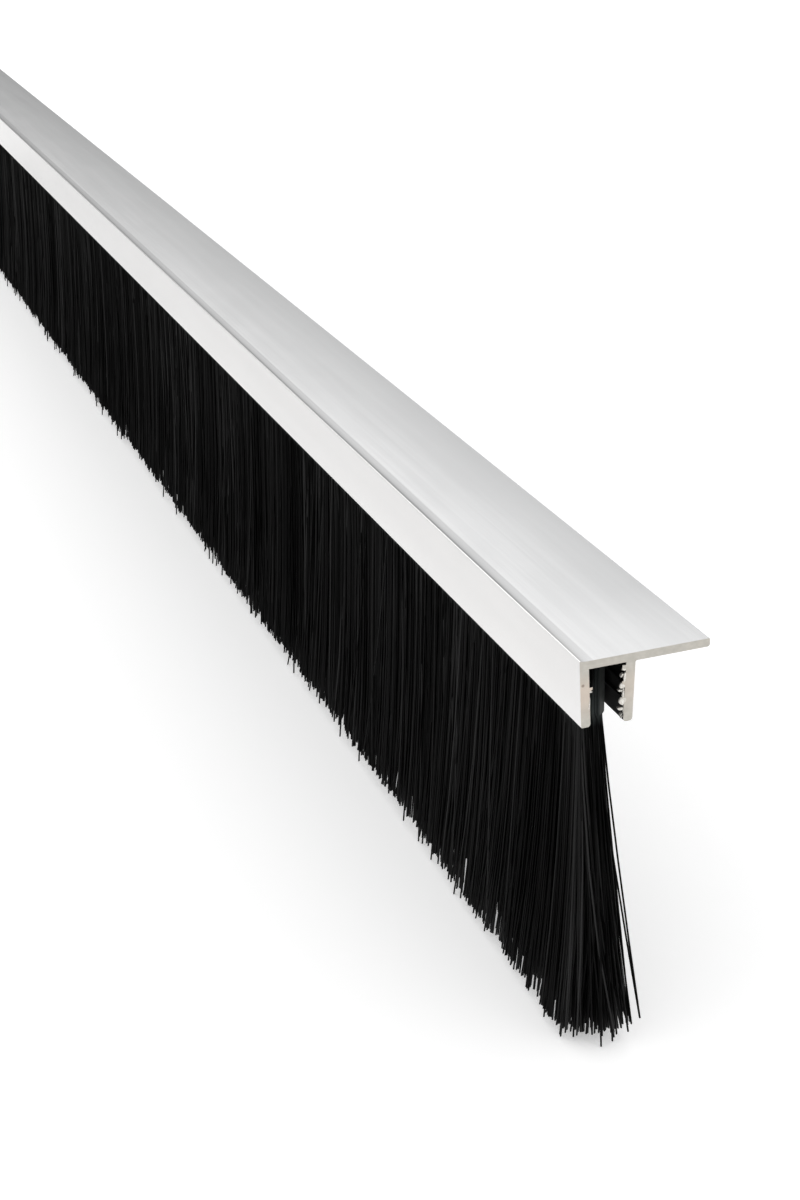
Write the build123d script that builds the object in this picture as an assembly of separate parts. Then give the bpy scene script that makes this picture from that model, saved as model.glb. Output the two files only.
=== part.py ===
# Door bottom brush seal: an extruded aluminium carrier of F section, whose serrated channel
# grips a plastic brush body, with a deep curtain of black nylon bristles below it.
# Frame: +X across the strip towards the tip of the screw flange, +Y along it, +Z up.
# The origin is the middle of the top face, which bears on the bottom edge of the door.
# All sizes are in millimetres.
from build123d import *
import math
import os

# Carrier, overall
strip_length = 914.0
flange_width = 24.0
flange_thickness = 1.5
channel_depth = 12.2

# Carrier legs: both lean in a little, as a channel does when it is pinched on its brush
leg_thickness = 1.7
leg_lean = 0.4
rear_leg_extra = 0.3
leg_end_radius = 0.55
front_leg_outer_radius = 0.2
leg_root_radius = 0.3

# Carrier edges: a fine rim stands along the front top edge, the flange tip is rounded
rim_height = 0.14
rim_width = 0.24
rim_step_run = 0.03
rim_step_height = 0.06
rim_sweep_run = 1.3
front_corner_radius = 0.2
flange_tip_top_radius = 0.2
flange_tip_bottom_radius = 0.5

# Serrations inside the rear leg, and one inside the front leg, that stop the body dropping out
rib_pitch = 2.95
rib_first_drop = 0.6
rib_base_height = 1.3
rib_tip_height = 0.45
rib_rise = 0.15
grip_clearance = 0.05
foot_clearance = 0.35

# Brush body: a plastic U section with the bristle roots fused into its slot
body_width = 5.3
body_height = 12.4
body_wall = 0.9
body_web = 2.4
body_lip_radius = 0.8
body_top_chamfer = 0.4
body_top_clearance = 0.1
end_recess = 6.5

# Bristle curtain: packed tight in the slot, fanning out towards its ragged tips
bristle_reach = 63.2
root_clearance = 0.05
throat_drop = 0.3
throat_flare = 0.45
tip_flare = 3.7
tip_end_recess = 1.0
tuft_pitch = 7.0
notch_depth = 3.0
notch_width = 4.2

# Sizes and places worked out from the values above
channel_width = body_width + 2 * (foot_clearance + leg_lean + leg_thickness)
rib_room = channel_depth - flange_thickness - rib_first_drop - rib_base_height - leg_end_radius
rib_count = 1 + int(rib_room / rib_pitch)
front_face_x = -flange_width / 2
channel_mid_x = front_face_x + channel_width / 2
ceiling_z = -flange_thickness
leg_foot_z = -channel_depth
body_top_z = ceiling_z - body_top_clearance
body_foot_z = body_top_z - body_height
slot_top_z = body_top_z - body_web
slot_width = body_width - 2 * body_wall
throat_width = slot_width + 2 * throat_flare
tip_width = throat_width + 2 * tip_flare
body_length = strip_length - 2 * end_recess
tip_z = leg_foot_z - bristle_reach
rib_reach_x = body_width / 2 + grip_clearance


def corner_near(sketch, x, z):
    """The corner of a section that lies nearest to a point of it."""
    return sorted(sketch.vertices(), key=lambda v: math.hypot(v.X - x, v.Y - z))[0]


def rounded(sketch, x, z, radius):
    """The section with the corner nearest to that point rounded."""
    return fillet(corner_near(sketch, x, z), radius)


def outline(*points):
    """A filled section through its corner points."""
    return make_face(Polyline(*points, close=True))


def drawn_along(section, length):
    """A section drawn out along Y, as far each way from the middle of the strip."""
    return extrude(Plane.XZ * section, length / 2, both=True)


def flange_section():
    """The flange, whose top sweeps up to a small step and the rim over the front leg."""
    tip_x = front_face_x + flange_width
    rim_rear_x = front_face_x + rim_width
    step_x = rim_rear_x + rim_step_run
    step_z = rim_height - rim_step_height
    sweep_end_x = step_x + rim_sweep_run
    sweep = TangentArc((sweep_end_x, 0), (step_x, step_z), tangent=(-1, 0))
    front_edge = Polyline(
        (step_x, step_z),
        (rim_rear_x, rim_height),
        (front_face_x, rim_height),
        (front_face_x + leg_thickness, ceiling_z),
    )
    rest = Polyline(
        (front_face_x + leg_thickness, ceiling_z),
        (tip_x, ceiling_z),
        (tip_x, 0),
        (sweep_end_x, 0),
    )
    flange = make_face(sweep + front_edge + rest)
    flange = rounded(flange, tip_x, 0, flange_tip_top_radius)
    return rounded(flange, tip_x, ceiling_z, flange_tip_bottom_radius)


def leg_section(side):
    """One leg of the channel, down to its rounded foot. Side is -1 in front, 1 behind."""
    outer_top = channel_mid_x + side * channel_width / 2
    inner_top = outer_top - side * leg_thickness
    outer_foot = outer_top - side * leg_lean
    inner_foot = inner_top - side * leg_lean
    outer_top_z = rim_height if side < 0 else ceiling_z
    foot_z = leg_foot_z if side < 0 else leg_foot_z - rear_leg_extra
    leg = outline(
        (outer_top, outer_top_z),
        (inner_top, ceiling_z),
        (inner_foot, foot_z),
        (outer_foot, foot_z),
    )
    outer_radius = front_leg_outer_radius if side < 0 else leg_end_radius
    leg = rounded(leg, inner_foot, foot_z, leg_end_radius)
    return rounded(leg, outer_foot, foot_z, outer_radius)


def rib_section(side, number):
    """One serration: its root is inside the leg and its tip just clear of the brush body."""
    root_x = channel_mid_x + side * (channel_width - leg_thickness) / 2
    tip_x = channel_mid_x + side * rib_reach_x
    top_z = ceiling_z - rib_first_drop - number * rib_pitch
    return outline(
        (root_x, top_z),
        (tip_x, top_z + rib_rise),
        (tip_x, top_z + rib_rise - rib_tip_height),
        (root_x, top_z - rib_base_height),
    )


def carrier():
    """The aluminium carrier, sawn square at both ends."""
    section = flange_section() + leg_section(-1) + leg_section(1)
    section += rib_section(-1, rib_count // 2)
    for number in range(rib_count):
        section += rib_section(1, number)
    section = rounded(section, front_face_x, rim_height, front_corner_radius)
    section = rounded(section, channel_mid_x + channel_width / 2, ceiling_z, leg_root_radius)
    return drawn_along(section, strip_length)


def brush_body():
    """The plastic body: chamfered to slide in at the top, with rounded lips at its slot."""
    half = body_width / 2
    left_x = channel_mid_x - half
    right_x = channel_mid_x + half
    section = outline(
        (left_x, body_foot_z),
        (left_x, body_top_z - body_top_chamfer),
        (left_x + body_top_chamfer, body_top_z),
        (right_x - body_top_chamfer, body_top_z),
        (right_x, body_top_z - body_top_chamfer),
        (right_x, body_foot_z),
    )
    section = rounded(section, left_x, body_foot_z, body_lip_radius)
    section = rounded(section, right_x, body_foot_z, body_lip_radius)
    slot_height = slot_top_z - body_foot_z
    slot = Pos(channel_mid_x, slot_top_z - slot_height / 2) * Rectangle(slot_width, slot_height)
    return drawn_along(section - slot, body_length)


def bristle_root():
    """The part of the bristle bundle that is held in the slot, down to just below the lips."""
    top_z = slot_top_z - root_clearance
    foot_z = body_foot_z - throat_drop
    width = slot_width - 2 * root_clearance
    return Pos(channel_mid_x, 0, (top_z + foot_z) / 2) * Box(width, body_length, top_z - foot_z)


def bristle_fan():
    """The free bristles, which fan out sideways and a little past the body at both ends."""
    throat_z = body_foot_z - throat_drop
    tip_length = strip_length - 2 * tip_end_recess
    throat = Pos(channel_mid_x, 0, throat_z) * Rectangle(throat_width, body_length)
    tips = Pos(channel_mid_x, 0, tip_z) * Rectangle(tip_width, tip_length)
    return loft([throat, tips])


def tip_notches():
    """Gaps between the tufts along the tips, of uneven depth."""
    count = int((strip_length - 2 * tip_end_recess) / tuft_pitch) - 1
    notches = []
    for number in range(count):
        y = (number - (count - 1) / 2) * tuft_pitch
        depth = notch_depth * (0.75 + 0.25 * math.sin(2.4 * number))
        notch = outline(
            (y - notch_width / 2, tip_z),
            (y, tip_z + depth),
            (y + notch_width / 2, tip_z),
        )
        cutter = extrude(Plane.YZ * notch, tip_width, both=True)
        notches.append(Pos(channel_mid_x, 0, 0) * cutter)
    return notches


def bristle_curtain():
    """All the bristles as one solid."""
    return bristle_root() + bristle_fan() - tip_notches()


parts = {
    "aluminium_carrier": carrier(),
    "brush_body": brush_body(),
    "nylon_bristles": bristle_curtain(),
}

os.makedirs("parts", exist_ok=True)
for name, shape in parts.items():
    export_step(shape, f"parts/{name}.step")
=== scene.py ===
"""Door bottom brush seal: an aluminium carrier, its brush body and a curtain of nylon bristles.

All sizes are in metres. +X runs across the strip to the tip of its screw flange, +Y along it
and +Z up, and the origin is the middle of the top face.
"""
import math
import bpy
import numpy as np
from bpy.props import FloatProperty, FloatVectorProperty, IntProperty, PointerProperty
from mathutils import Matrix, Vector


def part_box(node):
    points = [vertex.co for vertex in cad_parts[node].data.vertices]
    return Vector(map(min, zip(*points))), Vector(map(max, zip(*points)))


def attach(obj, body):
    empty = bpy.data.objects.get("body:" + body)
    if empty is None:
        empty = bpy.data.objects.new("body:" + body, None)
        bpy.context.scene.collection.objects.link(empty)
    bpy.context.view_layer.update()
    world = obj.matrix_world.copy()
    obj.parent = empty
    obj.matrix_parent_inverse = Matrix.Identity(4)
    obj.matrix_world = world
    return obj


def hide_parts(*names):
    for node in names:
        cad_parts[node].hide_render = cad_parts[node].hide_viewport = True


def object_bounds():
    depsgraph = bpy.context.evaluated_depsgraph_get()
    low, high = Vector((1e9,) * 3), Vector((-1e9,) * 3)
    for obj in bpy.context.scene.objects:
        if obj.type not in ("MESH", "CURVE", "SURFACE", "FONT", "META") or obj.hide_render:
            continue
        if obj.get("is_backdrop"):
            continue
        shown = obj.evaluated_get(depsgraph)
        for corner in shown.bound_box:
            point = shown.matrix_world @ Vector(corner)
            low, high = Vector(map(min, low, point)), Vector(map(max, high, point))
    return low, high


bl_info = {
    "name": "Door Bottom Brush Seal",
    "version": (1, 0, 0),
    "blender": (4, 5, 0),
    "location": "3D View > Sidebar > Brush Seal",
    "description": "Finishes a door bottom brush seal and sets up its studio",
    "category": "Object",
}

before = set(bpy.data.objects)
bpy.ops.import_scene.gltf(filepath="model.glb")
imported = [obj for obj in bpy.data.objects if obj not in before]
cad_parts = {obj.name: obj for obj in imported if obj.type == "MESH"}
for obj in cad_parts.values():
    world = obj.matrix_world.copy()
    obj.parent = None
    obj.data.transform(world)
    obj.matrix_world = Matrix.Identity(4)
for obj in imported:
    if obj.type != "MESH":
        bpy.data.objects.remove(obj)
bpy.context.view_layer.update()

MM = 0.001
BODY = "root"
TONE = "tone"
WHITE = (1.0, 1.0, 1.0, 1.0)

carrier_low, carrier_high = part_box("aluminium_carrier")
body_low, body_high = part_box("brush_body")
curtain_low, curtain_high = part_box("nylon_bristles")
CHANNEL_X = (body_low.x + body_high.x) / 2

# The sky's brightness, as pairs of the sine of a height above the horizon and a share of full
SKY = ((0.0, 0.02), (0.12, 0.27), (0.2, 0.6), (0.32, 0.82), (0.43, 0.92), (0.65, 1.0))

# The painted shade beside the rim, a dark line then a grey band, as pairs of a share of its width
# and a share of full
BAND = (
    (0.0, 1.0), (0.08, 0.95), (0.17, 0.58), (0.32, 0.42),
    (0.5, 0.34), (0.84, 0.29), (0.95, 0.06), (1.0, 0.0),
)

# How far in from the near end the painted shade beside the rim and the painted shade towards the
# flange's tip are paler
BAND_FADE = 35 * MM
TIP_SHADE_FADE = 25 * MM

# How far the speck on the front leg is dark, and where it ends
SPECK_RADII = (0.2 * MM, 0.32 * MM)

# The grain of each pattern, as patterns to the metre across, along and up
GRAINS = {
    "fine lines": (1900, 16, 1900),
    "broad lines": (260, 9, 260),
    "clouds": (60, 34, 60),
    "mottle": (700, 0, 700),
    "saw marks": (350, 0, 3000),
    "crumple": (2600, 2600, 2600),
    "drawn plastic": (1500, 14, 1500),
    "cut plastic": (3800, 60, 160),
    "nylon streaks": (0, 2100, 14),
    "nylon patches": (0, 160, 12),
}

# How far inside the lips a filament's second ring is, then the rest, as shares of the way down
MOUTH_RING = 0.4 * MM
RING_SHARES = (0.012, 0.22, 0.47, 0.73, 1.0)

# The even rows of filaments: place across the bundle from -1 to 1, unevenness, and if at a face
EVEN_ROWS = ((-0.92, 0.08, True), (0.0, 0.01, False), (0.92, 0.08, True))

# How many layers of clumps and of thinner strands there are through the curtain
CLUMP_LAYERS = 3
STRAND_LAYERS = 5

# How much clumps, strands and single filaments differ in place, bow and length
CLUMP_ACROSS = 0.2 * MM
STRAND_BOW = 0.5 * MM
BUNDLE_TIP = 0.15 * MM
BOW_ACROSS = 0.2 * MM
BOW_ALONG = 0.25 * MM
OWN_TIP = 0.28 * MM

# The share of the filaments that are short, and the most that one is
SHORT_SHARE = 0.08
SHORT_BY = 2.5 * MM

# Painted shade deep in the curtain: how bright a filament is by how near it lies to the
# curtain's surface, as pairs of both, how far in from an end all are near it, and how bright
# one in an even row is beside a loose one
DEPTH_SHADE = ((0.4, 0.25), (0.9, 1.0))
LIT_END = 8 * MM
ROW_TONE = 0.35

# How far in from an end the first filament gathers at a face
SKIN_START = 3 * MM

# The slow leans along the strip: the lengths of their waves, and how far they lean
SLOW_WAVES = (0.023, 0.037, 0.061, 0.11)
SLOW_LEAN = math.radians(0.8)

# How far below the lips the bundle has swelled most of the way
MOUTH_REACH = 0.4 * MM

# How much farther the tips reach than elsewhere, as pairs of a place along the strip and a length
TIP_LEVEL = (
    (-457 * MM, 0.7 * MM), (-445 * MM, 1.6 * MM), (-405 * MM, 1.4 * MM),
    (-375 * MM, 0.0), (100 * MM, 0.0), (457 * MM, 1.5 * MM),
)

# Metal that the saw left standing at the near end: its shape, then x and z in millimetres,
# width and height in millimetres, and turn in degrees
BURRS = (
    ("lump", -3.72, -2.7, 0.95, 0.85, 8),
    ("curl", -4.15, -3.7, 0.42, 0.25, -55),
    ("crag", -3.98, -5.7, 1.4, 1.35, 0),
    ("curl", -4.4, -6.6, 0.42, 0.26, 10),
    ("crag", -3.98, -8.6, 1.4, 1.7, 175),
    ("curl", -4.2, -10.05, 0.6, 0.4, 12),
    ("curl", -4.2, -10.95, 0.32, 0.08, -50),
    ("curl", -4.1, -11.45, 0.3, 0.08, -62),
    ("crag", -10.02, -5.75, 0.44, 0.95, 90),
    ("crag", -3.72, -4.25, 0.5, 2.0, 2),
    ("lump", -3.85, -7.2, 0.5, 2.0, 4),
    ("crag", -3.8, -10.2, 0.24, 1.8, 180),
    ("crag", -10.14, -8.0, 0.24, 2.9, 3),
)

# The shapes that torn metal takes, each with the seed of its own unevenness
TORN = (("lump", 4), ("crag", 9), ("curl", 2))

# How uneven and how thick they are, and how far in from the saw's cut, in millimetres, the first
# one stands, with what each of the next two adds
TORN_UNEVENNESS = 0.12 * MM
TORN_DEPTH = 0.7
TORN_PLACE = 0.3
TORN_STEP = 0.03

# Filaments that stand off the near end: x at the mouth, then x, y and z of the tip, all in
# millimetres, and the bow, where 1 is straight
STRAYS = (
    (-4.7, 0.5, -457.3, -73.4, 1.2),
    (-6.2, 0.6, -457.0, -73.4, 1.15),
    (-4.9, -1.1, -456.6, -74.2, 1.15),
    (-5.3, -1.75, -456.5, -74.4, 1.1),
    (-5.2, -2.4, -456.3, -74.6, 1.1),
)
STRAY_TONE = 0.1

# How much the filaments' map is tilted from a view from the side
MAP_TILT = 0.2


def deselect_all():
    """Leaves nothing selected, so that an operator acts only on what comes after."""
    if bpy.context.object and bpy.context.object.mode != "OBJECT":
        bpy.ops.object.mode_set(mode="OBJECT")
    bpy.ops.object.select_all(action="DESELECT")


def give_material(piece, material):
    """The piece wears one material all over."""
    if piece.material_slots:
        for slot in piece.material_slots:
            slot.material = material
    else:
        piece.data.materials.append(material)


class Value:
    """A shader socket that takes part in arithmetic, which adds Math nodes to its graph."""

    def __init__(self, graph, socket):
        self.graph = graph
        self.socket = socket

    def math(self, operation, first, second):
        return self.graph.node("ShaderNodeMath", {"operation": operation}, {0: first, 1: second})

    def __add__(self, other):
        return self.math("ADD", self, other)

    def __radd__(self, other):
        return self.math("ADD", other, self)

    def __sub__(self, other):
        return self.math("SUBTRACT", self, other)

    def __rsub__(self, other):
        return self.math("SUBTRACT", other, self)

    def __mul__(self, other):
        return self.math("MULTIPLY", self, other)

    def __rmul__(self, other):
        return self.math("MULTIPLY", other, self)

    def __pow__(self, other):
        return self.math("POWER", self, other)

    def __gt__(self, other):
        return self.math("GREATER_THAN", self, other)

    def __lt__(self, other):
        return self.math("LESS_THAN", self, other)

    def __abs__(self):
        return self.math("ABSOLUTE", self, 0.0)

    def beside(self, name):
        """Another output of the same node."""
        return Value(self.graph, self.socket.node.outputs[name])


class Graph:
    """The node tree of a material or of the world."""

    def __init__(self, owner):
        self.owner = owner
        owner.use_nodes = True
        self.tree = owner.node_tree
        self.tree.nodes.clear()

    def node(self, kind, settings=None, sockets=None, output=0):
        """Adds a node with its settings and its sockets' values or links, and gives an output."""
        made = self.tree.nodes.new(kind)
        for name, value in (settings or {}).items():
            if name == "stops":
                self.set_stops(made.color_ramp, value)
            else:
                setattr(made, name, value)
        for name, value in (sockets or {}).items():
            if isinstance(value, Value):
                self.tree.links.new(value.socket, made.inputs[name])
            else:
                made.inputs[name].default_value = value
        return Value(self, made.outputs[output]) if len(made.outputs) else None

    def set_stops(self, ramp, stops):
        """A ramp's stops, as pairs of a place and a grey level."""
        while len(ramp.elements) < len(stops):
            ramp.elements.new(0.5)
        for element, (place, level) in zip(ramp.elements, stops):
            element.position = place
            element.color = (level, level, level, 1)

    def point(self):
        """Where a point is in the part's own frame."""
        return self.node("ShaderNodeTexCoord", output="Object")

    def axes(self, point):
        """How far across, along and up a point is."""
        across = self.node("ShaderNodeSeparateXYZ", sockets={0: point})
        return across, across.beside("Y"), across.beside("Z")

    def noise(self, point, grain, detail=2.0, roughness=0.5):
        """Noise of one of the named grains."""
        sockets = {0: point, 1: GRAINS[grain]}
        stretched = self.node("ShaderNodeVectorMath", {"operation": "MULTIPLY"}, sockets)
        sockets = {"Vector": stretched, "Scale": 1.0, "Detail": detail, "Roughness": roughness}
        return self.node("ShaderNodeTexNoise", {"noise_dimensions": "3D"}, sockets)

    def levels(self, value, low, high, start=0.0, end=1.0):
        """The value brought from one range to another and kept in it."""
        sockets = {
            "Value": value, "From Min": low, "From Max": high, "To Min": start, "To Max": end,
        }
        return self.node("ShaderNodeMapRange", {"clamp": True}, sockets)

    def blend(self, factor, first, second):
        """A colour between two others, each a link or a colour property."""
        first, second = (c if isinstance(c, Value) else rgb(c) for c in (first, second))
        sockets = {0: factor, 6: first, 7: second}
        return self.node("ShaderNodeMix", {"data_type": "RGBA"}, sockets, output=2)

    def bump(self, height, strength, distance):
        """A relief that the light shows."""
        sockets = {"Height": height, "Strength": strength, "Distance": distance}
        return self.node("ShaderNodeBump", sockets=sockets)

    def finish(self, surface, kind="ShaderNodeOutputMaterial"):
        """The owner shows this shader."""
        self.node(kind, sockets={"Surface": surface})
        return self.owner

    def shade(self, sockets):
        """The owner shows the main shader with these values and links."""
        return self.finish(self.node("ShaderNodeBsdfPrincipled", sockets=sockets))


def rgb(colour):
    """A colour property as the four numbers that a colour socket takes."""
    return (*colour, 1.0)


def drawn_colour(graph, settings, place, lines, inside):
    """The drawn faces' colour: soft lines, with painted shade towards the flange's tip, beside the
    rim and in the channel.
    """
    across, along, up = place
    colour = graph.blend(lines, settings.line_colour, settings.colour)
    front = graph.levels(across, carrier_low.x + 0.9 * MM, carrier_low.x + 0.3 * MM, 0.0, 0.65)
    colour = graph.blend(front, colour, settings.front_colour)
    # Painted shade on the top face, deepening towards the flange's tip and paler near the near end
    fade = graph.levels(along, carrier_low.y, carrier_low.y + TIP_SHADE_FADE, 0.45, 1.0)
    shade_to_tip = graph.levels(across, CHANNEL_X - 2 * MM, carrier_high.x, 0.0, 0.8) * fade
    colour = graph.blend(shade_to_tip, colour, settings.tip_shade_colour)
    # Painted shade beside the rim: a dark line, then a grey band, paler near the near end
    first, last = settings.band_edges
    band = graph.node("ShaderNodeValToRGB", {"stops": BAND}, {0: graph.levels(across, first, last)})
    band = band * (up > -0.1 * MM) * (across > first - 0.05 * MM)
    band = band * graph.levels(along, carrier_low.y, carrier_low.y + BAND_FADE, 0.5, 1.0)
    colour = graph.blend(band, colour, settings.rim_shade_colour)
    return graph.blend(inside, colour, settings.channel_shade_colour)


def sawn_colour(graph, settings, place, tone):
    """The sawn faces' colour: cloudy, warmer down the front leg, with one dark speck."""
    across, _, up = place
    colour = graph.blend(tone, settings.sawn_dark, settings.sawn_colour)
    warmth = graph.levels(up, -2 * MM, -5 * MM) * graph.levels(up, -11 * MM, -7 * MM)
    warmth = warmth * graph.levels(across, CHANNEL_X, CHANNEL_X - 3 * MM, 0.35, 0.7)
    colour = graph.blend(warmth, colour, settings.sawn_warm)
    off_x = across - settings.speck_place[0]
    off_z = up - settings.speck_place[1]
    inner, outer = SPECK_RADII
    speck = graph.levels(off_x * off_x + off_z * off_z, inner**2, outer**2, 0.8, 0.0)
    return graph.blend(speck, colour, settings.speck_colour)


def aluminium_finish(settings):
    """Satin aluminium with soft lines along the strip, rougher and with painted shade inside, matt
    and warmer where sawn.
    """
    graph = Graph(bpy.data.materials.new("satin_aluminium"))
    point = graph.point()
    place = graph.axes(point)
    across, along, up = place
    fine = graph.noise(point, "fine lines", detail=3.0)
    broad = graph.noise(point, "broad lines")
    cloud = graph.noise(point, "clouds", detail=3.0)
    lines = graph.levels(0.25 * fine + 0.45 * broad + 0.3 * cloud, 0.41, 0.59)
    # The channel's inside, which is rougher and has painted shade
    inside = (abs(across - CHANNEL_X) < settings.channel_half) * (up < settings.channel_top)
    mottle = graph.noise(point, "mottle", detail=4.0, roughness=0.6)
    marks = graph.noise(point, "saw marks")
    tone = graph.levels(0.8 * mottle + 0.2 * marks, 0.3, 0.7)
    sawn = abs(along) > carrier_high.y - settings.sawn_depth
    drawn_rough = settings.roughness + (fine - 0.5) * settings.roughness_spread + inside * 0.2
    relief = lines * (1 - sawn) + sawn * (mottle + 0.4 * marks) * 2.0
    drawn = drawn_colour(graph, settings, place, lines, inside)
    return graph.shade({
        "Base Color": graph.blend(sawn, drawn, sawn_colour(graph, settings, place, tone)),
        "Metallic": 1.0,
        "Roughness": drawn_rough * (1 - sawn) + settings.sawn_roughness * sawn,
        "Normal": graph.bump(relief, settings.relief, settings.relief_height),
    })


def torn_finish(settings):
    """Freshly torn aluminium, lighter on its crests, partly with a painted highlight, and as dull
    as the sawn face between them.
    """
    graph = Graph(bpy.data.materials.new("torn_aluminium"))
    crumple = graph.noise(graph.point(), "crumple", detail=3.0)
    # The crests of the crumple take a lighter tone, partly a painted highlight
    tone = graph.levels(crumple, 0.4, 0.68)
    return graph.shade({
        "Base Color": graph.blend(tone, settings.sawn_colour, settings.torn_and_highlight_colour),
        "Metallic": 1.0,
        "Roughness": graph.levels(crumple, 0.3, 0.7, 0.4, 0.6),
        "Normal": graph.bump(tone, 0.5, 0.04 * MM),
    })


def plastic_finish(settings):
    """Black extruded plastic with faint lines drawn along it and down its sawn end."""
    graph = Graph(bpy.data.materials.new("black_body_plastic"))
    point = graph.point()
    drawn = graph.noise(point, "drawn plastic")
    tone = graph.levels(0.4 * drawn + 0.6 * graph.noise(point, "cut plastic"), 0.35, 0.65)
    return graph.shade({
        "Base Color": graph.blend(tone, settings.dark_colour, settings.colour),
        "Roughness": settings.roughness + (drawn - 0.5) * 0.12,
        "Normal": graph.bump(tone, 0.15, 0.03 * MM),
    })


def nylon_finish(settings):
    """Black drawn nylon: each filament's tone with painted shade deep in the curtain, with streaks,
    and painted light, greenish, in the slot.
    """
    graph = Graph(bpy.data.materials.new("black_nylon"))
    point = graph.point()
    across, _, up = graph.axes(point)
    streaks = graph.noise(point, "nylon streaks", detail=1.0)
    patches = graph.noise(point, "nylon patches", detail=1.0)
    # Each filament's tone, which holds painted shade for those deep in the curtain
    own = graph.node("ShaderNodeAttribute", {"attribute_name": TONE}, output="Fac")
    tone = graph.levels(own + 0.25 * (streaks - 0.5) + 0.7 * (patches - 0.53), 0.0, 1.0)
    tone = tone ** graph.levels(up, body_low.z, curtain_low.z, 0.8, 1.6)
    colour = graph.blend(tone, settings.dark_colour, settings.colour)
    # Painted light on the filaments in the slot, which lifts the channel's shade, most beside the
    # body's wall on the flange's side and lower down
    beside_wall = graph.levels(across, CHANNEL_X + 0.5 * MM, CHANNEL_X + MM)
    slot_light = graph.levels(beside_wall + graph.levels(up, -7 * MM, -11 * MM), 0.0, 1.0)
    slot_light = slot_light * graph.levels(up, body_low.z - 2 * MM, body_low.z + 0.5 * MM)
    return graph.shade({
        "Base Color": graph.blend(slot_light, colour, settings.slot_light_colour),
        "Roughness": graph.levels(streaks, 0.3, 0.7, settings.roughness, settings.roughness + 0.12),
        "Specular IOR Level": settings.gloss,
    })


class CarrierSettings(bpy.types.PropertyGroup):
    colour: FloatVectorProperty(
        name="Colour", description="The metal's brightest tone", subtype="COLOR", min=0, max=1,
        default=(0.97, 0.972, 0.975),
    )
    line_colour: FloatVectorProperty(
        name="Line colour", description="The tone of the fine lines along the strip",
        subtype="COLOR", min=0, max=1, default=(0.88, 0.883, 0.886),
    )
    front_colour: FloatVectorProperty(
        name="Front colour", description="The smoother tone of the front face", subtype="COLOR",
        min=0, max=1, default=(0.95, 0.935, 0.92),
    )
    # Painted shade towards the tip of the flange
    tip_shade_colour: FloatVectorProperty(
        name="Tip colour", description="The tone towards the tip of the flange", subtype="COLOR",
        min=0, max=1, default=(0.6, 0.603, 0.607),
    )
    # Painted shade beside the rim
    rim_shade_colour: FloatVectorProperty(
        name="Band colour", description="The tone beside the rim", subtype="COLOR", min=0, max=1,
        default=(0.24, 0.243, 0.248),
    )
    band_edges: FloatVectorProperty(
        name="Band edges", description="From where to where the tone beside the rim fades",
        subtype="TRANSLATION", size=2, precision=5, default=(-11.72 * MM, -9.3 * MM),
    )
    # Painted shade inside the channel
    channel_shade_colour: FloatVectorProperty(
        name="Channel colour", description="The dull tone inside the channel", subtype="COLOR",
        min=0, max=1, default=(0.09, 0.087, 0.087),
    )
    channel_half: FloatProperty(
        name="Channel half width", description="Half the width of the dull inside",
        subtype="DISTANCE", default=3.46 * MM,
    )
    channel_top: FloatProperty(
        name="Channel top", description="Height of the channel's ceiling", subtype="DISTANCE",
        default=-1.4 * MM,
    )
    roughness: FloatProperty(
        name="Roughness", description="How matt the drawn faces are", default=0.2, min=0, max=1
    )
    roughness_spread: FloatProperty(
        name="Roughness spread", description="How much the fine lines differ in gloss", default=0.1
    )
    relief: FloatProperty(
        name="Relief", description="How strongly the lines stand out", default=0.06, min=0, max=1
    )
    relief_height: FloatProperty(
        name="Relief height", description="Height of the lines", subtype="DISTANCE",
        default=0.01 * MM,
    )
    sawn_colour: FloatVectorProperty(
        name="Sawn colour", description="The light tone of the sawn faces", subtype="COLOR",
        min=0, max=1, default=(0.615, 0.59, 0.54),
    )
    sawn_dark: FloatVectorProperty(
        name="Sawn dark tone", description="The dark tone of the sawn faces", subtype="COLOR",
        min=0, max=1, default=(0.49, 0.47, 0.425),
    )
    sawn_warm: FloatVectorProperty(
        name="Sawn warm tone", description="The pinkish tone down the legs' sawn faces",
        subtype="COLOR", min=0, max=1, default=(0.69, 0.59, 0.505),
    )
    sawn_roughness: FloatProperty(
        name="Sawn roughness", description="How matt the sawn faces are", default=0.55, min=0, max=1
    )
    sawn_depth: FloatProperty(
        name="Sawn depth", description="How far the sawn finish reaches in from the end",
        subtype="DISTANCE", default=0.02 * MM,
    )
    speck_place: FloatVectorProperty(
        name="Speck place", description="Across and up to the dark speck on the front leg",
        subtype="TRANSLATION", size=2, precision=5, default=(-11.35 * MM, -4.36 * MM),
    )
    speck_colour: FloatVectorProperty(
        name="Speck colour", description="The tone of the dark speck", subtype="COLOR",
        min=0, max=1, default=(0.30, 0.24, 0.20),
    )
    # The light tone of fresh torn metal, partly a painted highlight on the crests
    torn_and_highlight_colour: FloatVectorProperty(
        name="Torn colour", description="The light tone of the metal that the saw tore",
        subtype="COLOR", min=0, max=1, default=(0.93, 0.91, 0.87),
    )
    curl_turn: FloatProperty(
        name="Curl turn", description="How far a curl of torn metal bends over", subtype="ANGLE",
        default=math.radians(60),
    )


class BodySettings(bpy.types.PropertyGroup):
    colour: FloatVectorProperty(
        name="Colour", description="The plastic's light tone", subtype="COLOR", min=0, max=1,
        default=(0.022, 0.026, 0.023),
    )
    dark_colour: FloatVectorProperty(
        name="Dark colour", description="The plastic's dark tone", subtype="COLOR", min=0, max=1,
        default=(0.008, 0.010, 0.009),
    )
    roughness: FloatProperty(
        name="Roughness", description="How matt the plastic is", default=0.42, min=0, max=1
    )


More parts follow.
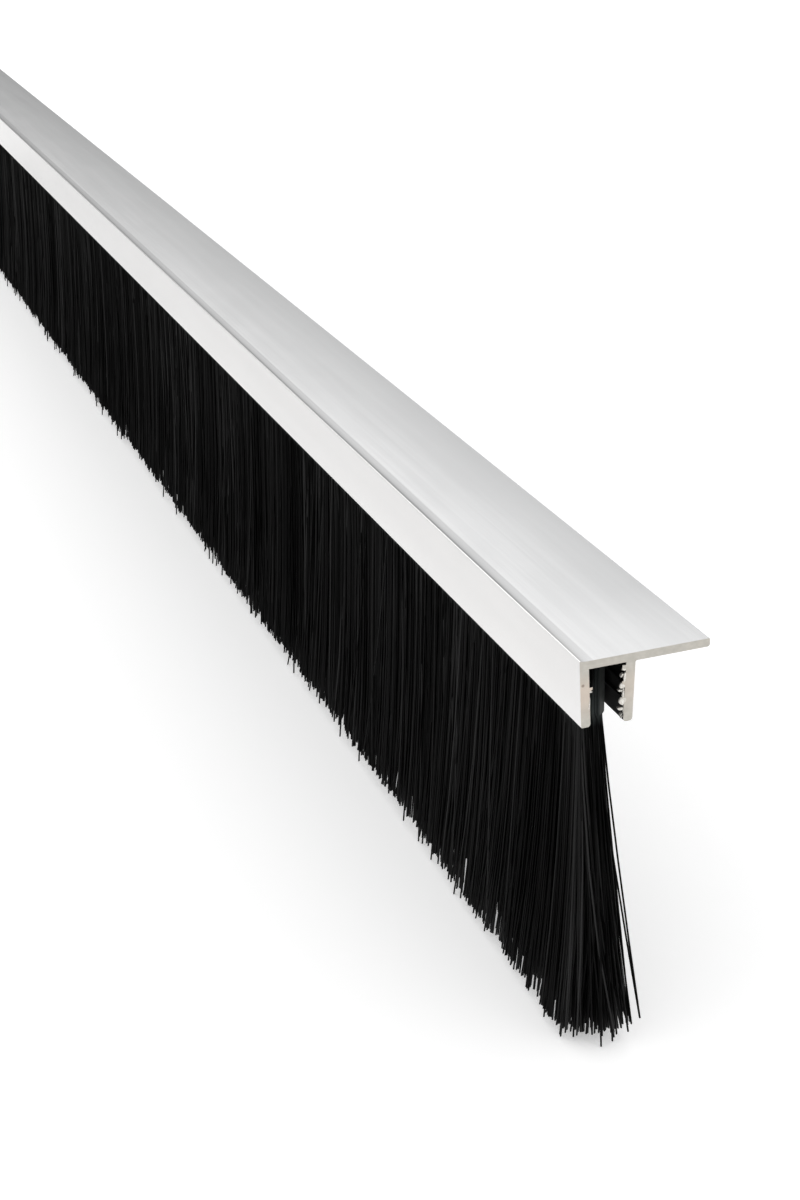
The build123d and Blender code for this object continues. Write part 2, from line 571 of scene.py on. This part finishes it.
class BristleSettings(bpy.types.PropertyGroup):
    filaments_per_mm: FloatProperty(
        name="Filaments per mm", description="How many loose filaments a millimetre holds",
        default=12.7, min=1.0,
    )
    core_pitch: FloatProperty(
        name="Core pitch", description="From filament to filament in the even row at the middle",
        subtype="DISTANCE", default=0.23 * MM,
    )
    face_pitch: FloatProperty(
        name="Face pitch", description="From filament to filament in the even rows at the faces",
        subtype="DISTANCE", default=0.78 * MM,
    )
    diameter: FloatProperty(
        name="Diameter", description="Thickness of one filament", subtype="DISTANCE",
        default=0.38 * MM,
    )
    sides: IntProperty(
        name="Sides", description="Flat sides on one filament", default=4, min=3, max=8
    )
    runs: IntProperty(
        name="Runs", description="How many meshes share the length of the curtain", default=5, min=1
    )
    seed: IntProperty(name="Seed", description="Which random curtain is made", default=20)
    end_extra: IntProperty(
        name="Extra at the ends", description="How many more filaments crowd each end", default=260
    )
    colour: FloatVectorProperty(
        name="Colour", description="The light tone of the nylon", subtype="COLOR", min=0, max=1,
        default=(0.034, 0.034, 0.034),
    )
    dark_colour: FloatVectorProperty(
        name="Dark colour", description="The dark tone of the nylon", subtype="COLOR", min=0, max=1,
        default=(0.0003, 0.0003, 0.0003),
    )
    # Painted light on the filaments in the slot
    slot_light_colour: FloatVectorProperty(
        name="Held colour", description="The tone of the filaments in the body's slot",
        subtype="COLOR", min=0, max=1, default=(0.045, 0.052, 0.051),
    )
    roughness: FloatProperty(
        name="Roughness", description="How matt a filament is", default=0.38, min=0, max=1
    )
    gloss: FloatProperty(
        name="Gloss", description="How much light a filament throws back", default=0.05,
        min=0, max=1,
    )
    slot_wall: FloatProperty(
        name="Slot wall", description="Thickness of the body's wall beside the slot",
        subtype="DISTANCE", default=0.9 * MM,
    )
    mouth_spread: FloatProperty(
        name="Mouth spread", description="How much the bundle swells just below the lips",
        subtype="DISTANCE", default=0.85 * MM,
    )
    fan_slope: FloatProperty(
        name="Fan slope", description="How fast the curtain's half thickness grows downwards",
        default=0.0105,
    )
    fan_curve: FloatProperty(
        name="Fan curve", description="How that growth quickens, for each metre down", default=0.65
    )
    skin_share: FloatProperty(
        name="Skin share", description="Share of the filaments that gather towards the two faces",
        default=0.45, min=0, max=1,
    )
    end_splay: FloatProperty(
        name="End splay", description="How far the last tips reach past their roots",
        subtype="DISTANCE", default=6.2 * MM,
    )
    end_reach: FloatProperty(
        name="End reach", description="How far in from an end the splay fades", subtype="DISTANCE",
        default=9.0 * MM,
    )
    end_fullness: FloatProperty(
        name="End fullness", description="How much wider the curtain fans out at its ends",
        default=0.08, min=0.0,
    )
    clump_widths: FloatVectorProperty(
        name="Clump widths", description="Least and greatest width of a clump of tips",
        subtype="TRANSLATION", size=2, precision=5, default=(1.8 * MM, 6.5 * MM),
    )
    clump_pull: FloatProperty(
        name="Clump pull", description="How far the tips of a clump draw together", default=0.14,
        min=0, max=1,
    )
    clump_lean: FloatProperty(
        name="Clump lean", description="How far a clump leans from its neighbours", subtype="ANGLE",
        default=math.radians(1.5),
    )
    strand_widths: FloatVectorProperty(
        name="Strand widths", description="Least and greatest width of a strand of filaments",
        subtype="TRANSLATION", size=2, precision=5, default=(0.4 * MM, 1.3 * MM),
    )
    strand_lean: FloatProperty(
        name="Strand lean", description="How far a strand leans from its neighbours",
        subtype="ANGLE", default=math.radians(3.2),
    )
    lean: FloatProperty(
        name="Lean", description="How far a filament leans from its strand", subtype="ANGLE",
        default=math.radians(0.9),
    )
    parting: FloatProperty(
        name="Parting", description="How far the filaments next to an end lean away from it",
        subtype="ANGLE", default=math.radians(4),
    )
    parting_place: FloatProperty(
        name="Parting place", description="How far in from an end they lean the most",
        subtype="DISTANCE", default=24.0 * MM,
    )
    tip_rise: FloatProperty(
        name="Tip rise", description="How far above the longest tips most of them end",
        subtype="DISTANCE", default=4.1 * MM,
    )
    corner_rise: FloatProperty(
        name="Corner rise", description="How much shorter the filaments at the rear corners are",
        subtype="DISTANCE", default=1.6 * MM,
    )
    row_rise: FloatProperty(
        name="Row rise", description="How much shorter the filaments of the even rows are",
        subtype="DISTANCE", default=0.8 * MM,
    )
    long_share: FloatProperty(
        name="Long share", description="Share of the filaments that stand below the others",
        default=0.13, min=0, max=1,
    )
    crossing: FloatProperty(
        name="Crossing", description="Share of the filaments that cross to another side lower down",
        default=0.5, min=0, max=1,
    )
    overhang: FloatProperty(
        name="Overhang", description="How far the longest tips pass the packed model's",
        subtype="DISTANCE", default=3.0 * MM,
    )


class StudioSettings(bpy.types.PropertyGroup):
    camera_place: FloatVectorProperty(
        name="Camera", description="Where the camera stands", subtype="TRANSLATION", size=3,
        precision=5, default=(-0.134203, -0.717210, 0.137936),
    )
    heading: FloatProperty(
        name="Heading", description="Angle of the view to the strip, seen from above",
        subtype="ANGLE", default=0.3378,
    )
    look_down: FloatProperty(
        name="Look down", description="Angle of the view below the horizon", subtype="ANGLE",
        default=0.4141,
    )
    roll: FloatProperty(
        name="Roll", description="Turn of the camera about its own view", subtype="ANGLE",
        default=-0.0314,
    )
    lens: FloatProperty(
        name="Lens", description="Focal length on a picture 36 mm high", subtype="DISTANCE_CAMERA",
        default=58.169,
    )
    floor_size: FloatProperty(
        name="Floor size", description="Width of the square floor", subtype="DISTANCE", default=12.0
    )
    floor_colour: FloatVectorProperty(
        name="Floor colour", description="The floor's own colour", subtype="COLOR", min=0, max=1,
        default=(0.88, 0.88, 0.88),
    )
    floor_glow: FloatProperty(
        name="Floor glow", description="White added to the floor where the camera sees it",
        default=0.33, min=0, max=1,
    )
    mirrored_glow: FloatProperty(
        name="Mirrored glow", description="White added to the floor where a reflection sees it",
        default=0.36, min=0, max=1,
    )
    glow_edges: FloatVectorProperty(
        name="Glow edges", description="From where to where the mirrored white grows to the strip",
        subtype="TRANSLATION", size=2, precision=4, default=(-0.088, -0.045),
    )
    glow_fade: FloatVectorProperty(
        name="Glow fade", description="From where to where along the strip it fades away",
        subtype="TRANSLATION", size=2, default=(-0.3, 0.95),
    )
    sky_level: FloatProperty(
        name="Sky level", description="Brightness overhead", default=1.02, min=0.0
    )
    lamp_power: FloatProperty(
        name="Lamp power", description="Power of the soft lamp that lights the rim",
        subtype="POWER", default=1.8,
    )
    lamp_size: FloatVectorProperty(
        name="Lamp size", description="Width and height of the lamp", subtype="TRANSLATION", size=2,
        default=(0.9, 0.6),
    )
    lamp_place: FloatVectorProperty(
        name="Lamp place", description="Where the lamp hangs", subtype="TRANSLATION", size=3,
        default=(-0.9, 1.1, 0.75),
    )


def torn_shape(settings, name, seed):
    """A shape of torn metal 1 mm wide and high: a flat-faced lump, or a bar that curls over."""
    deselect_all()
    if name == "curl":
        bpy.ops.mesh.primitive_cube_add(size=MM, location=(0, 0, 0))
        shape = bpy.context.object
        for face in shape.data.polygons:
            face.select = face.normal.x < -0.9
        bpy.ops.object.mode_set(mode="EDIT")
        bpy.ops.mesh.select_mode(type="FACE")
        centre = (-MM / 2, 0, -0.9 * MM)
        bpy.ops.mesh.spin(steps=3, angle=settings.curl_turn, center=centre, axis=(0, 1, 0))
        bpy.ops.transform.resize(value=(0.35, 0.6, 0.35))
    else:
        bpy.ops.mesh.primitive_cylinder_add(
            vertices=13, radius=MM / 2, depth=0.8 * MM, rotation=(math.radians(90), 0, 0)
        )
        shape = bpy.context.object
        bpy.ops.object.transform_apply(location=True, rotation=True, scale=True)
        for face in shape.data.polygons:
            face.select = face.normal.y < -0.9
        bpy.ops.object.mode_set(mode="EDIT")
        bpy.ops.mesh.select_mode(type="FACE")
        bpy.ops.mesh.inset(thickness=0.14 * MM, depth=0.1 * MM)
        bpy.ops.mesh.inset(thickness=0.12 * MM, depth=0.0)
    bpy.ops.mesh.select_all(action="SELECT")
    bpy.ops.transform.vertex_random(offset=TORN_UNEVENNESS, uniform=1.0, seed=seed)
    bpy.ops.mesh.normals_make_consistent(inside=False)
    bpy.ops.object.mode_set(mode="OBJECT")
    bpy.ops.object.modifier_add(type="SUBSURF")
    shape.modifiers[-1].levels = 2
    bpy.ops.object.modifier_apply(modifier=shape.modifiers[-1].name)
    bpy.ops.object.shade_smooth()
    return shape


def place_burrs(shapes):
    """Copies of the torn shapes where the photograph shows them, joined into one piece."""
    copies = []
    for number, (name, x, z, width, height, turn) in enumerate(BURRS):
        copy = shapes[name].copy()
        copy.data = shapes[name].data.copy()
        bpy.context.scene.collection.objects.link(copy)
        copy.scale = (width, TORN_DEPTH, height)
        copy.rotation_euler = (0, math.radians(turn), 0)
        inwards = (TORN_PLACE + TORN_STEP * (number % 3)) * MM
        copy.location = (x * MM, carrier_low.y + inwards, z * MM)
        copies.append(copy)
    for shape in shapes.values():
        bpy.data.objects.remove(shape)
    deselect_all()
    for copy in copies:
        copy.select_set(True)
    bpy.context.view_layer.objects.active = copies[0]
    bpy.ops.object.transform_apply(location=True, rotation=True, scale=True)
    bpy.ops.object.join()
    burrs = bpy.context.object
    burrs.name = "saw_burrs"
    return burrs


def filament_heights(settings):
    """Heights of a filament's rings: the slot's top, its mouth, then shares of the free length."""
    mouth = body_low.z
    tip = curtain_low.z - settings.overhang
    free = [mouth + share * (tip - mouth) for share in RING_SHARES]
    return [curtain_high.z, mouth + MOUTH_RING] + free


def one_filament(settings):
    """One filament standing straight, cut across where its rings come."""
    heights = filament_heights(settings)
    deselect_all()
    bpy.ops.mesh.primitive_cylinder_add(
        vertices=settings.sides,
        radius=settings.diameter / 2,
        depth=heights[0] - heights[-1],
        end_fill_type="NGON",
        location=(CHANNEL_X, 0, (heights[0] + heights[-1]) / 2),
    )
    filament = bpy.context.object
    bpy.ops.object.transform_apply(location=True, rotation=True, scale=True)
    bpy.ops.object.mode_set(mode="EDIT")
    for height in heights[1:-1]:
        bpy.ops.mesh.select_all(action="SELECT")
        bpy.ops.mesh.bisect(plane_co=(CHANNEL_X, 0, height), plane_no=(0, 0, 1))
    bpy.ops.object.mode_set(mode="OBJECT")
    return filament


def across_slot(settings, random, end_left):
    """Places across the bundle, from -1 to 1: some gather at the faces, but none at an end."""
    count = len(end_left)
    side = random.uniform(-1, 1, count)
    at_face = (random.random(count) < settings.skin_share) & (end_left > SKIN_START)
    return np.where(at_face, np.sin(side * math.pi / 2), side)


def even_rows(settings, random, half_length):
    """Places along the strip and across the bundle of the filaments that stand in even rows."""
    places = []
    sides = []
    for middle, unevenness, at_face in EVEN_ROWS:
        pitch = settings.face_pitch if at_face else settings.core_pitch
        row = np.arange(-half_length + pitch * random.random(), half_length, pitch)
        places.append(row)
        sides.append(middle + unevenness * random.uniform(-1, 1, len(row)))
    return np.concatenate(places), np.concatenate(sides)


def filament_roots(settings, random):
    """Each filament's place along the strip, across the bundle at both ends, and if it is loose."""
    half_length = body_high.y - settings.diameter / 2
    count = int(round(2 * half_length / MM * settings.filaments_per_mm))
    along = random.uniform(-half_length, half_length, count)
    crowd = half_length - random.uniform(0, settings.end_reach / 2, settings.end_extra)
    places, row_side = even_rows(settings, random, half_length)
    along = np.concatenate([places, along, crowd, -crowd])
    order = np.argsort(along)
    along = along[order]
    loose = order >= len(places)
    row_side = np.pad(row_side, (0, len(along) - len(places)))[order]
    end_left = half_length - np.abs(along)
    side = np.where(loose, across_slot(settings, random, end_left), row_side)
    crossing = loose & (random.random(len(along)) < settings.crossing)
    tip_side = np.where(crossing, across_slot(settings, random, end_left), side)
    return along, end_left, side, tip_side, loose


def grouped(random, along, side, layers, least, most):
    """The group that each filament is in, layer by layer, and the middles of the groups."""
    layer = np.floor((side + 1) / 2 * layers).clip(0, layers - 1)
    group = np.zeros(len(along), dtype=int)
    middles = []
    for number in range(layers):
        edges = [along.min()]
        while edges[-1] < along.max():
            edges.append(edges[-1] + random.uniform(least, most))
        members = layer == number
        inside = np.searchsorted(edges, along[members], side="right") - 1
        group[members] = inside.clip(0, len(edges) - 2) + len(middles)
        middles.extend((np.array(edges[1:]) + np.array(edges[:-1])) / 2)
    return group, np.array(middles)


def stray_lines(heights):
    """The centre lines of the few filaments that stand off the near end, bowed outwards."""
    share = np.clip((body_low.z - heights) / (body_low.z - heights[-1]), 0, 1)
    start_y = body_low.y + 0.2 * MM
    lines = []
    for mouth_x, tip_x, tip_y, tip_z, bow in STRAYS:
        x = mouth_x * MM + (tip_x - mouth_x) * MM * share**bow
        y = start_y + (tip_y * MM - start_y) * share
        z = np.where(heights > body_low.z, heights, body_low.z + (tip_z * MM - body_low.z) * share)
        lines.append(np.stack([x, y, z], axis=1))
    return np.array(lines)


def tip_rises(settings, random, roots, clump_tip, strand_tip):
    """How far each tip ends above the longest: most level, some shorter, a few far down."""
    along, end_left, _, tip_side, loose = roots
    count = len(along)
    usual = settings.tip_rise - np.interp(along, *zip(*TIP_LEVEL))
    rise = usual + clump_tip + strand_tip + random.normal(0, OWN_TIP, count)
    rise = rise + (random.random(count) < SHORT_SHARE) * random.uniform(0, SHORT_BY, count)
    long = random.random(count) < settings.long_share
    rise = np.where(long & loose, usual * random.random(count), rise).clip(0, None)
    rise = rise + np.where(loose, 0, settings.row_rise)
    end_fade = np.exp(-end_left / settings.end_reach)
    return rise + settings.corner_rise * tip_side.clip(0, 1) ** 2 * end_fade


def tones_and_depth_shade(random, roots, strand_tone):
    """Tones, a strand's with a filament's own, with painted shade deep in the curtain, and darker
    in an even row.
    """
    _, end_left, side, tip_side, loose = roots
    surface = np.maximum(np.maximum(np.abs(side), np.abs(tip_side)), 0.9 - end_left / LIT_END)
    tones = 1.5 * (0.6 * strand_tone + 0.5 * random.random(len(side)) ** 2.5) ** 1.4
    return tones * np.interp(surface, *zip(*DEPTH_SHADE)) * np.where(loose, 1.0, ROW_TONE)


def filament_lines(settings):
    """The centre line of every filament, as filaments by rings by three numbers, and its tone with
    painted shade.
    """
    random = np.random.default_rng(settings.seed)
    heights = np.array(filament_heights(settings))
    roots = filament_roots(settings, random)
    along, end_left, side, tip_side, loose = roots
    count = len(along)
    outwards = np.sign(along)
    end_fade = np.exp(-end_left / settings.end_reach)

    # How far each ring is below the mouth, and as a share of the free length
    depth = np.clip(body_low.z - heights, 0, None)[None, :]
    share = depth / (body_low.z - heights[-1])
    tip_share = share**1.4
    bowed = np.sin(math.pi * share)

    # Clumps of tips, and within them strands of a few filaments that lie together. Both fade
    # towards the ends, so that the last filaments stay together, and leave the even rows alone
    settled = (1 - end_fade) * loose
    clump, middles = grouped(random, along, side, CLUMP_LAYERS, *settings.clump_widths)
    pulled = (middles[clump] - along) * settled
    clump_across = random.normal(0, CLUMP_ACROSS, len(middles))[clump] * settled
    clump_lean = random.normal(0, settings.clump_lean, len(middles))[clump] * settled
    clump_tip = random.normal(0, BUNDLE_TIP, len(middles))[clump]
    strand, middles = grouped(random, along, side, STRAND_LAYERS, *settings.strand_widths)
    strand_lean = random.normal(0, settings.strand_lean, len(middles))[strand] * settled
    strand_bow = random.normal(0, STRAND_BOW, len(middles))[strand] * loose
    strand_tip = random.normal(0, BUNDLE_TIP, len(middles))[strand]
    strand_tone = random.random(len(middles))[strand] ** 2.2

    # Leans along the strip: slow ones, away from an end beside it, and each filament's own
    slow = sum(
        random.uniform(0.3, 0.6) * np.sin(2 * math.pi * along / wave + random.uniform(0, 6.28))
        for wave in SLOW_WAVES
    )
    inwards = end_left / settings.parting_place
    parting = -outwards * settings.parting * inwards * np.exp(1 - inwards)
    lean = random.normal(0, settings.lean, count) * loose + clump_lean + strand_lean + parting
    lean = lean + slow * (1 - end_fade) * SLOW_LEAN
    bow_across = random.normal(0, BOW_ACROSS, count) * loose
    bow_along = random.normal(0, BOW_ALONG, count) * loose + strand_bow

    # Where each ring goes, across and along, with a splay past the ends that is least in front
    half_slot = (body_high.x - body_low.x) / 2 - settings.slot_wall - settings.diameter / 2
    half_width = half_slot + settings.mouth_spread * (1 - np.exp(-depth / MOUTH_REACH))
    half_width = half_width + settings.fan_slope * depth + settings.fan_curve * depth**2
    fullness = settings.end_fullness * np.exp(-end_left / (3 * settings.end_reach))
    half_width = half_width * (1 + fullness[:, None] * share)
    x = CHANNEL_X + (side[:, None] + (tip_side - side)[:, None] * share) * half_width
    x = x + clump_across[:, None] * tip_share + bow_across[:, None] * bowed
    splay = outwards * settings.end_splay * end_fade * (1 - 0.85 * ((1 - tip_side) / 2) ** 2)
    y = along[:, None] + settings.clump_pull * pulled[:, None] * tip_share
    y = y + lean[:, None] * depth + splay[:, None] * share + bow_along[:, None] * bowed
    rise = tip_rises(settings, random, roots, clump_tip, strand_tip)
    z = heights[None, :] + rise[:, None] * share

    tones = tones_and_depth_shade(random, roots, strand_tone)
    strays = stray_lines(heights)
    lines = np.concatenate([strays, np.stack([x, y, z], axis=2)])
    return lines, np.concatenate([np.full(len(strays), STRAY_TONE), tones])


def place_filaments(filament, lines, tones, name):
    """One mesh with a copy of the filament along each line, each with its own tone and painted
    shade.
    """
    corners = np.array([v.co for v in filament.data.vertices])
    faces = [list(p.vertices) for p in filament.data.polygons]
    heights = np.unique(np.round(corners[:, 2], 6))[::-1]
    ring = np.abs(corners[:, 2][:, None] - heights[None, :]).argmin(axis=1)
    offset = corners - np.array([CHANNEL_X, 0, 0])
    offset[:, 2] = 0
    places = lines[:, ring, :] + offset[None, :, :]
    count, per = places.shape[:2]
    sides = [f for f in faces if len(set(ring[f])) > 1]
    caps = [f for f in faces if len(set(ring[f])) == 1]
    ordered = np.array(sides + caps)
    copies = (np.arange(count) * per)[:, None, None] + ordered[None, :, :]
    copies = copies.reshape(-1, ordered.shape[1])
    mesh = bpy.data.meshes.new(name)
    mesh.from_pydata(places.reshape(-1, 3).tolist(), [], copies.tolist())
    smooth = np.tile(np.arange(len(ordered)) < len(sides), count)
    mesh.polygons.foreach_set("use_smooth", smooth)
    layer = mesh.attributes.new(TONE, "FLOAT", "POINT")
    layer.data.foreach_set("value", np.repeat(tones, per))
    side_map(mesh)
    mesh.update()
    piece = bpy.data.objects.new(name, mesh)
    bpy.context.scene.collection.objects.link(piece)
    return piece


def side_map(mesh):
    """A map of the mesh as seen from the side, tilted a little so that the tips have a width."""
    points = np.zeros(len(mesh.vertices) * 3)
    mesh.vertices.foreach_get("co", points)
    points = points.reshape(-1, 3)
    flat = np.stack([points[:, 1], points[:, 2] + MAP_TILT * points[:, 0]], axis=1)
    flat = (flat - flat.min(axis=0)) / np.ptp(flat, axis=0)
    corner = np.zeros(len(mesh.loops), dtype=np.int64)
    mesh.loops.foreach_get("vertex_index", corner)
    layer = mesh.uv_layers.new(name="OFBake")
    layer.data.foreach_set("uv", flat[corner].ravel())


def glow_seen(graph, settings):
    """The floor's added white, for the camera, a reflection and a view through glass."""
    camera = graph.node("ShaderNodeLightPath", output="Is Camera Ray")
    direct = camera + camera.beside("Is Transmission Ray")
    across, along, _ = graph.axes(graph.point())
    near = graph.levels(across, *settings.glow_edges)
    near = near * graph.levels(along, *settings.glow_fade, 1.0, 0.0)
    mirrored = settings.mirrored_glow * near * camera.beside("Is Glossy Ray")
    return settings.floor_glow * direct + mirrored


def make_floor(settings):
    """A white floor at the bristles' tips, which keeps the soft shadow of the strip."""
    deselect_all()
    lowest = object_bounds()[0][2]
    bpy.ops.mesh.primitive_plane_add(size=settings.floor_size, location=(0, 0, lowest))
    floor = bpy.context.object
    floor.name = "floor"
    bpy.ops.object.transform_apply(location=True, rotation=True, scale=True)
    graph = Graph(bpy.data.materials.new("white_floor"))
    matt = graph.node("ShaderNodeBsdfDiffuse", sockets={"Color": rgb(settings.floor_colour)})
    sockets = {"Color": WHITE, "Strength": glow_seen(graph, settings)}
    glow = graph.node("ShaderNodeEmission", sockets=sockets)
    both = graph.node("ShaderNodeAddShader", sockets={0: matt, 1: glow})
    give_material(floor, graph.finish(both))
    floor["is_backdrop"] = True


def light_world(scene, settings):
    """Soft light, brightest overhead, which the metal mirrors, and plain white for the camera."""
    scene.world = bpy.data.worlds.new("soft_studio")
    graph = Graph(scene.world)
    direction = graph.node("ShaderNodeTexCoord", output="Generated")
    height = graph.node("ShaderNodeSeparateXYZ", sockets={0: direction}, output="Z")
    level = graph.node("ShaderNodeValToRGB", {"stops": SKY}, {0: height}) * settings.sky_level
    light = graph.node("ShaderNodeBackground", sockets={"Color": WHITE, "Strength": level})
    white = graph.node("ShaderNodeBackground", sockets={"Color": WHITE, "Strength": 1.0})
    path = graph.node("ShaderNodeLightPath", output="Is Camera Ray")
    both = graph.node("ShaderNodeMixShader", sockets={0: path, 1: light, 2: white})
    graph.finish(both, "ShaderNodeOutputWorld")


def hang_lamp(scene, settings):
    """A soft lamp off the front of the strip, where the rim throws its light to the camera."""
    lamp_data = bpy.data.lights.new("softbox", "AREA")
    lamp_data.shape = "RECTANGLE"
    lamp_data.size, lamp_data.size_y = settings.lamp_size
    lamp_data.energy = settings.lamp_power
    lamp = bpy.data.objects.new("softbox", lamp_data)
    scene.collection.objects.link(lamp)
    lamp.location = settings.lamp_place
    target = Vector((0, carrier_low.y, 0))
    lamp.rotation_euler = (target - lamp.location).to_track_quat("-Z", "Y").to_euler()


def place_camera(scene, settings):
    """The camera, standing off the near end and looking along the strip."""
    camera_data = bpy.data.cameras.new("camera")
    camera_data.lens = settings.lens
    camera_data.clip_start = 0.01
    camera = bpy.data.objects.new("camera", camera_data)
    scene.collection.objects.link(camera)
    sine, cosine = math.sin(settings.heading), math.cos(settings.heading)
    level = math.cos(settings.look_down)
    ahead = Vector((sine * level, cosine * level, -math.sin(settings.look_down)))
    right = Vector((cosine, -sine, 0))
    above = right.cross(ahead)
    turned = math.cos(settings.roll) * right + math.sin(settings.roll) * above
    raised = -math.sin(settings.roll) * right + math.cos(settings.roll) * above
    rows = zip(turned, raised, -ahead, settings.camera_place)
    camera.matrix_world = Matrix((*rows, (0, 0, 0, 1)))
    scene.camera = camera


class BRUSHSEAL_OT_carrier(bpy.types.Operator):
    """Finish the aluminium carrier"""

    bl_idname = "brushseal.carrier"
    bl_label = "Carrier"

    def execute(self, context):
        material = aluminium_finish(context.scene.brushseal_carrier)
        give_material(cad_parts["aluminium_carrier"], material)
        return {"FINISHED"}


class BRUSHSEAL_OT_burrs(bpy.types.Operator):
    """Make the torn metal that the saw left inside the near end"""

    bl_idname = "brushseal.burrs"
    bl_label = "Saw burrs"

    def execute(self, context):
        settings = context.scene.brushseal_carrier
        burrs = place_burrs({name: torn_shape(settings, name, seed) for name, seed in TORN})
        give_material(burrs, torn_finish(settings))
        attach(burrs, BODY)
        return {"FINISHED"}


class BRUSHSEAL_OT_body(bpy.types.Operator):
    """Finish the plastic brush body"""

    bl_idname = "brushseal.body"
    bl_label = "Brush body"

    def execute(self, context):
        give_material(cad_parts["brush_body"], plastic_finish(context.scene.brushseal_body))
        return {"FINISHED"}


class BRUSHSEAL_OT_bristles(bpy.types.Operator):
    """Make the curtain of nylon bristles"""

    bl_idname = "brushseal.bristles"
    bl_label = "Bristles"

    def execute(self, context):
        settings = context.scene.brushseal_bristles
        material = nylon_finish(settings)
        filament = one_filament(settings)
        lines, tones = filament_lines(settings)
        runs = zip(np.array_split(lines, settings.runs), np.array_split(tones, settings.runs))
        for number, (run, shades) in enumerate(runs):
            piece = place_filaments(filament, run, shades, f"bristle_run_{number + 1}")
            give_material(piece, material)
            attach(piece, BODY)
            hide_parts("nylon_bristles")
        bpy.data.objects.remove(filament)
        return {"FINISHED"}


class BRUSHSEAL_OT_studio(bpy.types.Operator):
    """Set up the floor, the light and the camera"""

    bl_idname = "brushseal.studio"
    bl_label = "Studio"

    def execute(self, context):
        settings = context.scene.brushseal_studio
        make_floor(settings)
        light_world(context.scene, settings)
        hang_lamp(context.scene, settings)
        place_camera(context.scene, settings)
        context.scene.view_settings.view_transform = "Standard"
        return {"FINISHED"}


class BRUSHSEAL_PT_panel(bpy.types.Panel):
    """The brush seal's sizes, colours and steps"""

    bl_idname = "BRUSHSEAL_PT_panel"
    bl_label = "Brush Seal"
    bl_space_type = "VIEW_3D"
    bl_region_type = "UI"
    bl_category = "Brush Seal"

    def draw(self, context):
        for name, _, operators in STEPS:
            box = self.layout.box()
            settings = getattr(context.scene, name)
            for key in settings.bl_rna.properties.keys():
                if key not in ("rna_type", "name"):
                    box.prop(settings, key)
            for operator in operators:
                box.operator(operator)


STEPS = (
    ("brushseal_carrier", CarrierSettings, ("brushseal.carrier", "brushseal.burrs")),
    ("brushseal_body", BodySettings, ("brushseal.body",)),
    ("brushseal_bristles", BristleSettings, ("brushseal.bristles",)),
    ("brushseal_studio", StudioSettings, ("brushseal.studio",)),
)
CLASSES = (
    CarrierSettings,
    BodySettings,
    BristleSettings,
    StudioSettings,
    BRUSHSEAL_OT_carrier,
    BRUSHSEAL_OT_burrs,
    BRUSHSEAL_OT_body,
    BRUSHSEAL_OT_bristles,
    BRUSHSEAL_OT_studio,
    BRUSHSEAL_PT_panel,
)


def register():
    """Makes the settings, the steps and the panel known."""
    for made in CLASSES:
        bpy.utils.register_class(made)
    for name, group, _ in STEPS:
        setattr(bpy.types.Scene, name, PointerProperty(type=group))


def unregister():
    """Takes them away again."""
    for name, _, _ in STEPS:
        delattr(bpy.types.Scene, name)
    for made in reversed(CLASSES):
        bpy.utils.unregister_class(made)


def main():
    """Makes the brush seal and its studio."""
    register()
    bpy.ops.brushseal.carrier()
    bpy.ops.brushseal.burrs()
    bpy.ops.brushseal.body()
    bpy.ops.brushseal.bristles()
    bpy.ops.brushseal.studio()


if __name__ == "__main__":
    main()
